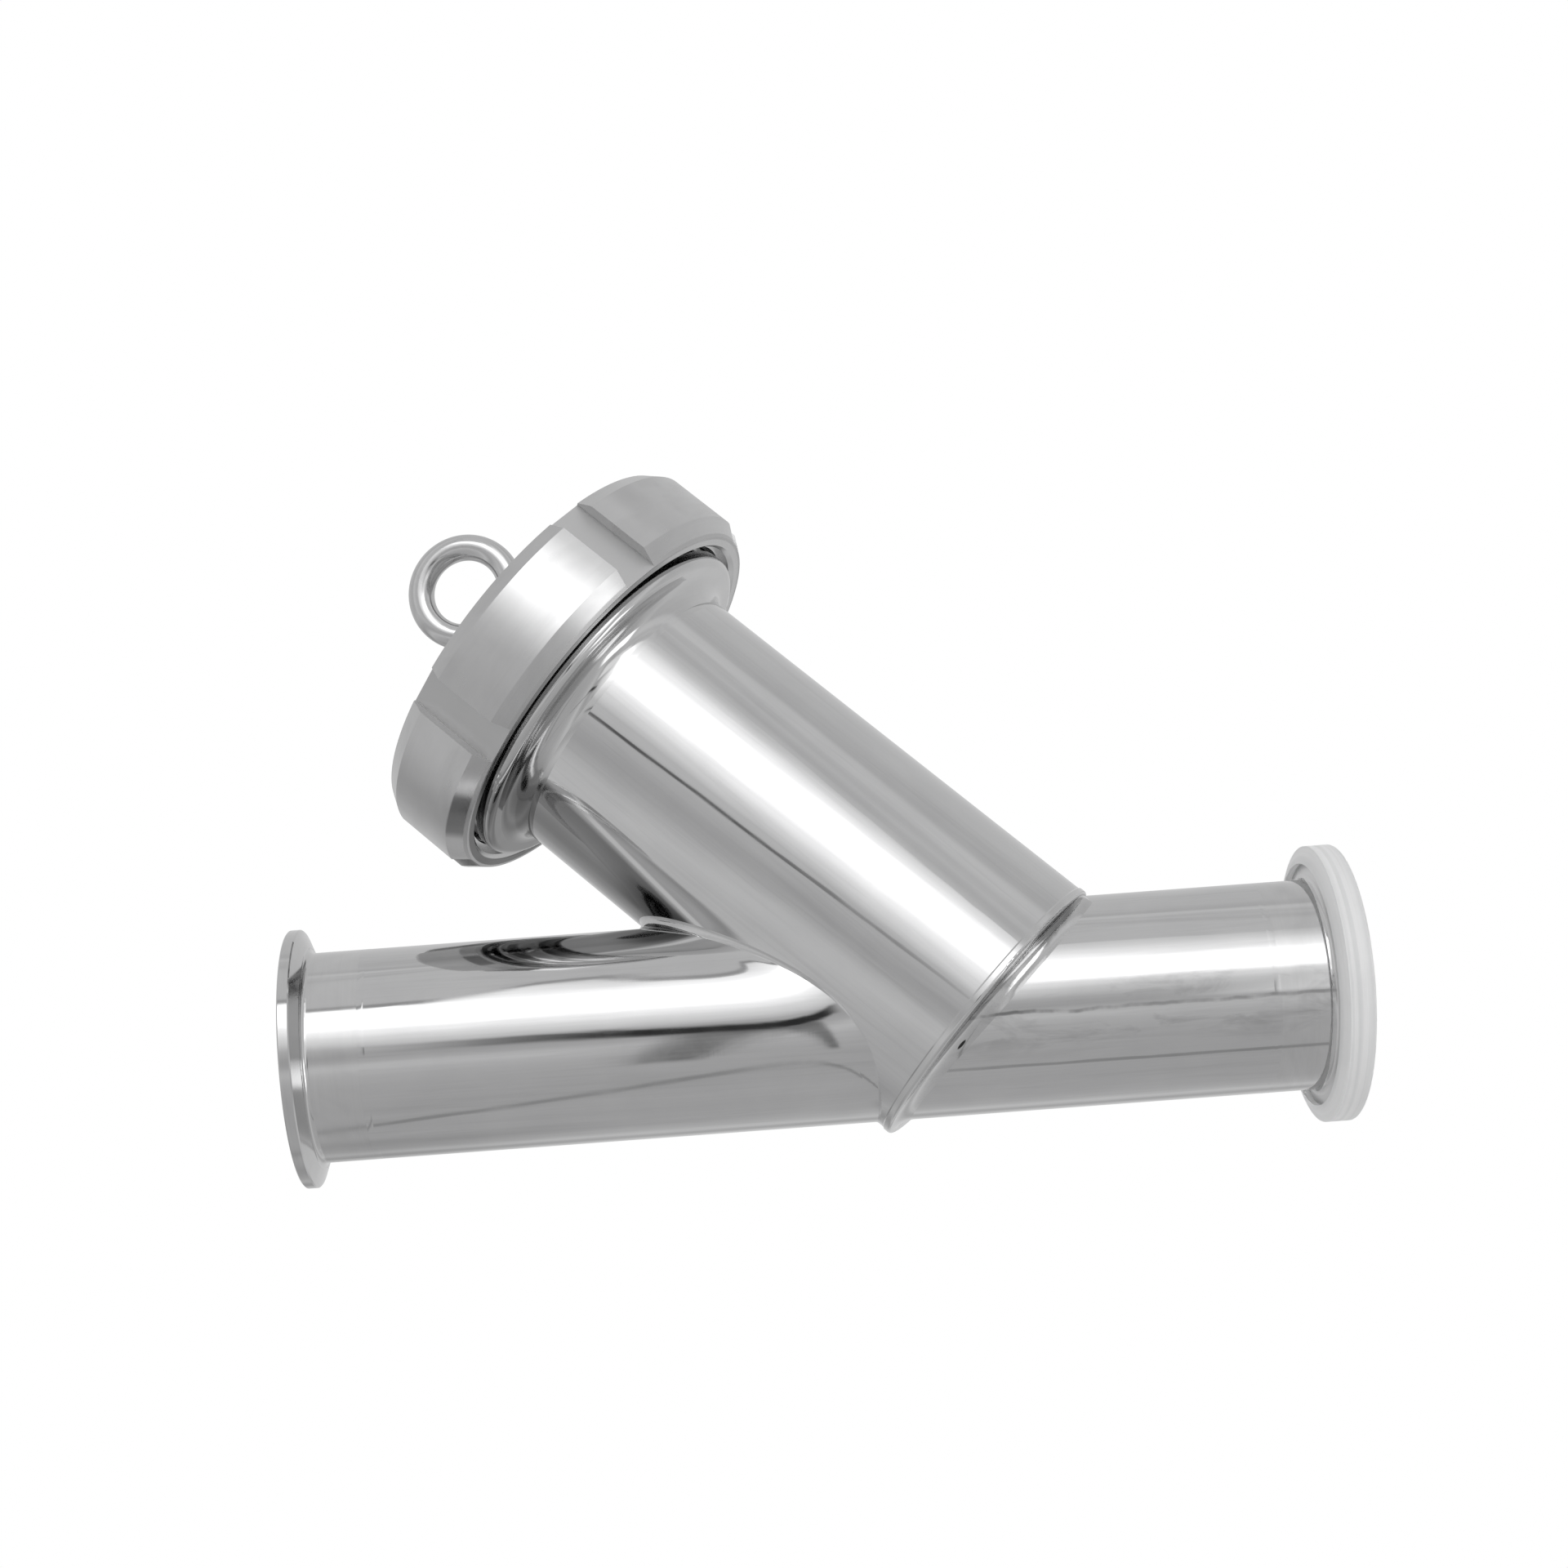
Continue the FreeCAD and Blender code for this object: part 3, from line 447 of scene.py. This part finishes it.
def polished_tube(name, place_of, roughness=0.10, joint=None, darkening=None, painted_highlight=None, bore=None):
    """Mechanically polished tube: lengthwise lines and dull streaks, slow waviness, smudges, specks.
    joint is (distance function, rise, reach) for metal drawn up by a weld; inside the radius bore
    the metal is only pickled, so it is duller."""
    material, g = new_material(name)
    place = place_of(g)
    lines = g.noise(g.stretched(place, 1500.0, 1500.0, 30.0), 1.0, 3.0, 0.6)
    rings = g.noise(g.stretched(place, 60.0, 60.0, 2600.0), 1.0, 2.0, 0.6)
    waves = g.noise(g.stretched(place, 70.0, 70.0, 14.0), 1.0, 2.0, 0.5)
    ripples = g.noise(g.stretched(place, 210.0, 210.0, 34.0), 1.0, 2.0, 0.55, 0.8)
    streaks = g.noise(g.stretched(place, 420.0, 420.0, 16.0), 1.0, 3.0, 0.6, 0.4)
    smudge = g.noise(place, 45.0, 4.0, 0.6, 0.6)
    specks = g.noise(place, 2300.0, 2.0, 0.7)
    tone = g.mix_colour(g.remap(smudge, 0.3, 0.75), (0.60, 0.60, 0.602, 1.0), grey(0.645))
    tone = g.mix_colour(g.remap(lines, 0.35, 0.75, 0.0, 0.16), tone, grey(0.50))
    tone = g.mix_colour(g.remap(streaks, 0.52, 0.74, 0.0, 0.42), tone, grey(0.50))
    tone = g.mix_colour(g.remap(specks, 0.68, 0.80, 0.0, 0.30), tone, grey(0.42))
    # painted highlight: the colour is lightened along the given line
    if painted_highlight:
        tone = g.mix_colour(painted_highlight(g), tone, grey(0.93))
    if darkening:
        tone = darkened(g, tone, darkening)
    rough = g.math("ADD", g.remap(smudge, 0.35, 0.7, roughness - 0.02, roughness + 0.035),
                   g.remap(lines, 0.3, 0.8, -0.015, 0.02))
    if bore:
        x, y, z = g.split(place)
        inside = g.remap(g.length(x, y), bore + 0.2 * MM, bore)
        tone = g.mix_colour(inside, tone, grey(PICKLED_TONE))
        rough = g.math("ADD", rough, g.math("MULTIPLY", inside, PICKLED_ROUGH - roughness))
    normal = g.bump(waves, 0.00010)
    normal = g.bump(ripples, 0.000012, normal)
    if joint:
        distance_of, rise, reach = joint
        normal = g.bump(pulled_up(g, distance_of(g), rise, reach), MM, normal)
    normal = g.bump(lines, 0.0000011, normal)
    normal = g.bump(rings, 0.0000004, normal)
    shader = g.add("ShaderNodeBsdfPrincipled", {
        "Base Color": tone, "Metallic": 1.0, "Roughness": rough, "Normal": normal})
    g.add("ShaderNodeOutputMaterial", {0: shader})
    return material


def turned_steel(name, place_of, roughness, groove, spread, tone_low=0.60, tone_high=0.645, darkening=None,
                 matt=()):
    """Turned steel: concentric tool lines on every face of revolution, at two pitches, and faint specks.
    matt lists bands left dull: (from radius, to radius, roughness, tone), in millimetres."""
    material, g = new_material(name)
    place = place_of(g)
    x, y, z = g.split(place)
    radius = g.length(x, y)
    turned = g.vector(g.math("MULTIPLY", radius, 1000.0), g.math("MULTIPLY", x, 9.0),
                      g.math("MULTIPLY", z, 1000.0))
    fine = g.noise(turned, 3.2, 3.0, 0.65)
    coarse = g.noise(turned, 0.9, 2.0, 0.5)
    cloud = g.noise(place, 60.0, 4.0, 0.6, 0.5)
    handling = g.noise(g.stretched(place, 30.0, 30.0, 75.0), 1.0, 3.0, 0.6, 0.7)
    specks = g.noise(place, 1100.0, 3.0, 0.7)
    tone = g.mix_colour(g.remap(cloud, 0.3, 0.7), grey(tone_low), grey(tone_high))
    tone = g.mix_colour(g.remap(handling, 0.50, 0.72, 0.0, 0.34), tone, grey(0.48))
    tone = g.mix_colour(g.remap(fine, 0.45, 0.75, 0.0, 0.10), tone, grey(0.45))
    tone = g.mix_colour(g.remap(specks, 0.68, 0.80, 0.0, 0.20), tone, grey(0.43))
    if darkening:
        tone = darkened(g, tone, darkening)
    rough = g.math("ADD", g.remap(cloud, 0.3, 0.7, roughness - spread, roughness + spread),
                   g.remap(handling, 0.3, 0.7, -spread, spread))
    size = g.math("MULTIPLY", radius, 1000.0)
    for start, end, dull, pale in matt:
        band = g.math("MULTIPLY", g.remap(size, start - 0.1, start + 0.1),
                      g.remap(size, end + 0.1, end - 0.1))
        tone = g.mix_colour(band, tone, grey(pale))
        rough = g.math("ADD", rough, g.math("MULTIPLY", band, dull - roughness))
    normal = g.bump(coarse, groove * 2.0)
    normal = g.bump(fine, groove, normal)
    shader = g.add("ShaderNodeBsdfPrincipled", {
        "Base Color": tone, "Metallic": 1.0, "Roughness": rough, "Normal": normal})
    g.add("ShaderNodeOutputMaterial", {0: shader})
    return material


def weld_steel(name, darkening=None):
    """Weld metal, ground and buffed: a little uneven, with soft ripples."""
    material, g = new_material(name)
    place = g.add("ShaderNodeTexCoord").node.outputs["Object"]
    lumps = g.noise(place, 120.0, 1.0, 0.5)
    grain = g.noise(place, 1800.0, 3.0, 0.65)
    tone = g.mix_colour(g.remap(lumps, 0.3, 0.7), grey(0.56), grey(0.66))
    tone = g.mix_colour(g.remap(grain, 0.55, 0.8, 0.0, 0.35), tone, grey(0.40))
    if darkening:
        tone = darkened(g, tone, darkening)
    normal = g.bump(lumps, 0.00003)
    normal = g.bump(grain, 0.0000004, normal)
    shader = g.add("ShaderNodeBsdfPrincipled", {
        "Base Color": tone, "Metallic": 1.0, "Roughness": g.remap(grain, 0.3, 0.7, 0.07, 0.13),
        "Normal": normal})
    g.add("ShaderNodeOutputMaterial", {0: shader})
    return material


def screen_steel(name):
    """Perforated sheet, pickled: dull, mottled, with a faint rolling grain."""
    material, g = new_material(name)
    place = barrel_place(g)
    mottle = g.noise(place, 110.0, 4.0, 0.65, 0.4)
    rolling = g.noise(g.stretched(place, 1200.0, 1200.0, 40.0), 1.0, 3.0, 0.6)
    tone = g.mix_colour(g.remap(mottle, 0.3, 0.7), (0.50, 0.50, 0.505, 1.0), grey(0.61))
    tone = g.mix_colour(g.remap(rolling, 0.4, 0.8, 0.0, 0.3), tone, grey(0.40))
    normal = g.bump(mottle, 0.00004)
    normal = g.bump(rolling, 0.000002, normal)
    shader = g.add("ShaderNodeBsdfPrincipled", {
        "Base Color": tone, "Metallic": 1.0, "Roughness": g.remap(mottle, 0.3, 0.7, 0.24, 0.38),
        "Normal": normal})
    g.add("ShaderNodeOutputMaterial", {0: shader})
    return material


MESH_PITCH = 0.5 * MM


def mesh_steel(name):
    """Fine woven mesh: wires over and under at a half millimetre pitch, with painted shade between them."""
    material, g = new_material(name)
    place = barrel_place(g)
    x, y, z = g.split(place)
    radius = 28.8 * MM
    round_way = g.math("MULTIPLY", g.math("ARCTAN2", y, x), radius)
    turn = 2.0 * math.pi / MESH_PITCH
    warp = g.math("COSINE", g.math("MULTIPLY", round_way, turn))
    weft = g.math("COSINE", g.math("MULTIPLY", z, turn))
    weave = g.math("MAXIMUM", warp, weft)
    soil = g.noise(place, 130.0, 4.0, 0.6)
    wire = g.mix_colour(g.remap(soil, 0.3, 0.7), (0.44, 0.44, 0.45, 1.0), (0.57, 0.57, 0.575, 1.0))
    # painted shade: the gaps between the wires are near black
    tone = g.mix_colour(g.remap(weave, -0.1, 0.5, smooth=True), (0.03, 0.03, 0.032, 1.0), wire)
    normal = g.bump(weave, 0.00012)
    shader = g.add("ShaderNodeBsdfPrincipled", {
        "Base Color": tone, "Metallic": 1.0, "Roughness": g.remap(soil, 0.3, 0.7, 0.26, 0.40),
        "Normal": normal})
    g.add("ShaderNodeOutputMaterial", {0: shader})
    return material


def seal_rubber(name):
    """Moulded black rubber with a matt, slightly dusty skin."""
    material, g = new_material(name)
    place = barrel_place(g)
    dust = g.noise(place, 260.0, 4.0, 0.65)
    pores = g.noise(place, 2600.0, 2.0, 0.6)
    tone = g.mix_colour(g.remap(dust, 0.4, 0.8), (0.018, 0.018, 0.019, 1.0), grey(0.055))
    shader = g.add("ShaderNodeBsdfPrincipled", {
        "Base Color": tone, "Roughness": g.remap(dust, 0.3, 0.7, 0.46, 0.62),
        "Normal": g.bump(pores, 0.00001)})
    g.add("ShaderNodeOutputMaterial", {0: shader})
    return material


PAINTED_GLOW = 0.05    # painted glow: a faint emission standing in for light that the translucent body passes on from the bright paper behind it


def gasket_silicone(name):
    """Frosted white silicone: cloudy body, satin skin, the steel behind it just showing, and a faint painted
    glow.
    """
    material, g = new_material(name)
    place = run_place(g)
    cloud = g.noise(place, 90.0, 3.0, 0.6)
    bands = g.noise(g.stretched(place, 6.0, 6.0, 900.0), 1.0, 2.0, 0.5)
    pores = g.noise(place, 1800.0, 3.0, 0.6)
    tone = g.mix_colour(g.remap(cloud, 0.3, 0.7), grey(0.94), grey(0.99))
    tone = g.mix_colour(g.remap(bands, 0.42, 0.62, 0.0, 0.8), tone, (0.80, 0.805, 0.805, 1.0))
    normal = g.bump(cloud, 0.00006)
    normal = g.bump(pores, 0.000008, normal)
    # the emission paints a faint glow into the gasket, which is no lamp
    shader = g.add("ShaderNodeBsdfPrincipled", {
        "Base Color": tone, "Roughness": g.remap(cloud, 0.3, 0.7, 0.30, 0.42), "Normal": normal,
        "Transmission Weight": 0.30, "IOR": 1.41,
        "Subsurface Weight": 0.35, "Subsurface Scale": 0.002,
        "Subsurface Radius": (1.0, 1.0, 1.0),
        "Emission Color": tone, "Emission Strength": PAINTED_GLOW})
    g.add("ShaderNodeOutputMaterial", {0: shader})
    return material


def dress_nodes():
    """Give every CAD node the finish that its real counterpart has."""
    run_tube = polished_tube("run_tube_steel", run_place, 0.055, (off_barrel, 0.7, 3.4), bore=RUN_BORE)
    inlet_tube = polished_tube("inlet_tube_steel", run_place, 0.06, darkening=inlet_marks_and_reflection, bore=RUN_BORE)
    barrel = polished_tube("barrel_steel", barrel_place, 0.05, (off_run, 0.35, 2.5), barrel_darkening,
                           barrel_painted_highlight, BARREL_BORE)
    ferrule_bore = (24.0, 25.3, PICKLED_ROUGH, PICKLED_TONE)
    bright_run = turned_steel("ferrule_steel", run_place, 0.10, 0.0000010, 0.02, matt=[ferrule_bore])
    clamped_run = turned_steel("clamped_ferrule_steel", run_place, 0.08, 0.0000006, 0.02,
                               darkening=inlet_marks_and_reflection, matt=[ferrule_bore, (26.4, 33.0, 0.45, 0.80)])
    bright_plate = turned_steel("end_plate_steel", barrel_place, 0.10, 0.0000008, 0.02)
    bright_union = turned_steel("union_steel", barrel_place, 0.10, 0.0000010, 0.02,
                                darkening=union_darkening)
    satin = turned_steel("nut_steel", barrel_place, 0.24, 0.0000010, 0.03, 0.59, 0.635, nut_darkening,
                         [(52.0, 53.3, 0.42, 0.57)])
    cap = turned_steel("cap_steel", barrel_place, 0.20, 0.0000020, 0.03)
    eye = polished_tube("eye_steel", barrel_place, 0.15)
    weld = weld_steel("weld_metal")
    mitre = weld_steel("mitre_metal", inlet_marks_and_reflection)
    screen = screen_steel("screen_sheet")
    finishes = {
        "outlet_tube": run_tube, "inlet_tube": inlet_tube,
        "outlet_ferrule": bright_run, "inlet_ferrule": clamped_run,
        "ferrule_welds": inlet_tube, "saddle_weld": run_tube, "mitre_weld": mitre,
        "plate_weld": weld, "union_weld": bright_union,
        "barrel_tube": barrel, "end_plate": bright_plate, "union_male": bright_union,
        "union_seal": seal_rubber("seal_rubber"),
        "round_nut": satin, "blank_cap": cap, "eye_stem": eye, "eye_ring": eye,
        "screen_tube": screen, "screen_top_ring": screen, "screen_bottom_ring": screen,
        "screen_seam": screen, "screen_bail": screen,
        "screen_mesh": mesh_steel("mesh_wire"),
        "clamp_gasket": gasket_silicone("gasket_silicone"),
    }
    for node_name, material in finishes.items():
        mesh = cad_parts[node_name].data
        for index in range(len(mesh.materials)):
            mesh.materials[index] = material
        if not mesh.materials:
            mesh.materials.append(material)


# ---------------------------------------------------------------- camera
CAMERA_AT = Vector((99.56, -583.5, -151.4)) * MM
CAMERA_PITCH = math.radians(16.12)
CAMERA_ROLL = math.radians(-4.26)
CAMERA_LENS = 55.85
CAMERA_SHIFT = (0.05617, 0.1141)


def photo_camera():
    data = bpy.data.cameras.new("camera")
    camera = bpy.data.objects.new("camera", data)
    bpy.context.scene.collection.objects.link(camera)
    data.sensor_width = 36.0
    data.lens = CAMERA_LENS
    data.shift_x, data.shift_y = CAMERA_SHIFT
    data.clip_start = 0.01
    data.clip_end = 50.0
    forward = Vector((0.0, math.cos(CAMERA_PITCH), math.sin(CAMERA_PITCH)))
    right = Vector((1.0, 0.0, 0.0))
    up = right.cross(forward)
    across = right * math.cos(CAMERA_ROLL) + up * math.sin(CAMERA_ROLL)
    upward = up * math.cos(CAMERA_ROLL) - right * math.sin(CAMERA_ROLL)
    turn = Matrix((across, upward, -forward)).transposed()
    camera.matrix_world = Matrix.Translation(CAMERA_AT) @ turn.to_4x4()
    bpy.context.scene.camera = camera


studio_world()
studio_floor()
dress_nodes()
photo_camera()
bpy.context.scene.view_settings.view_transform = "Standard"
bpy.context.scene.view_settings.look = "None"
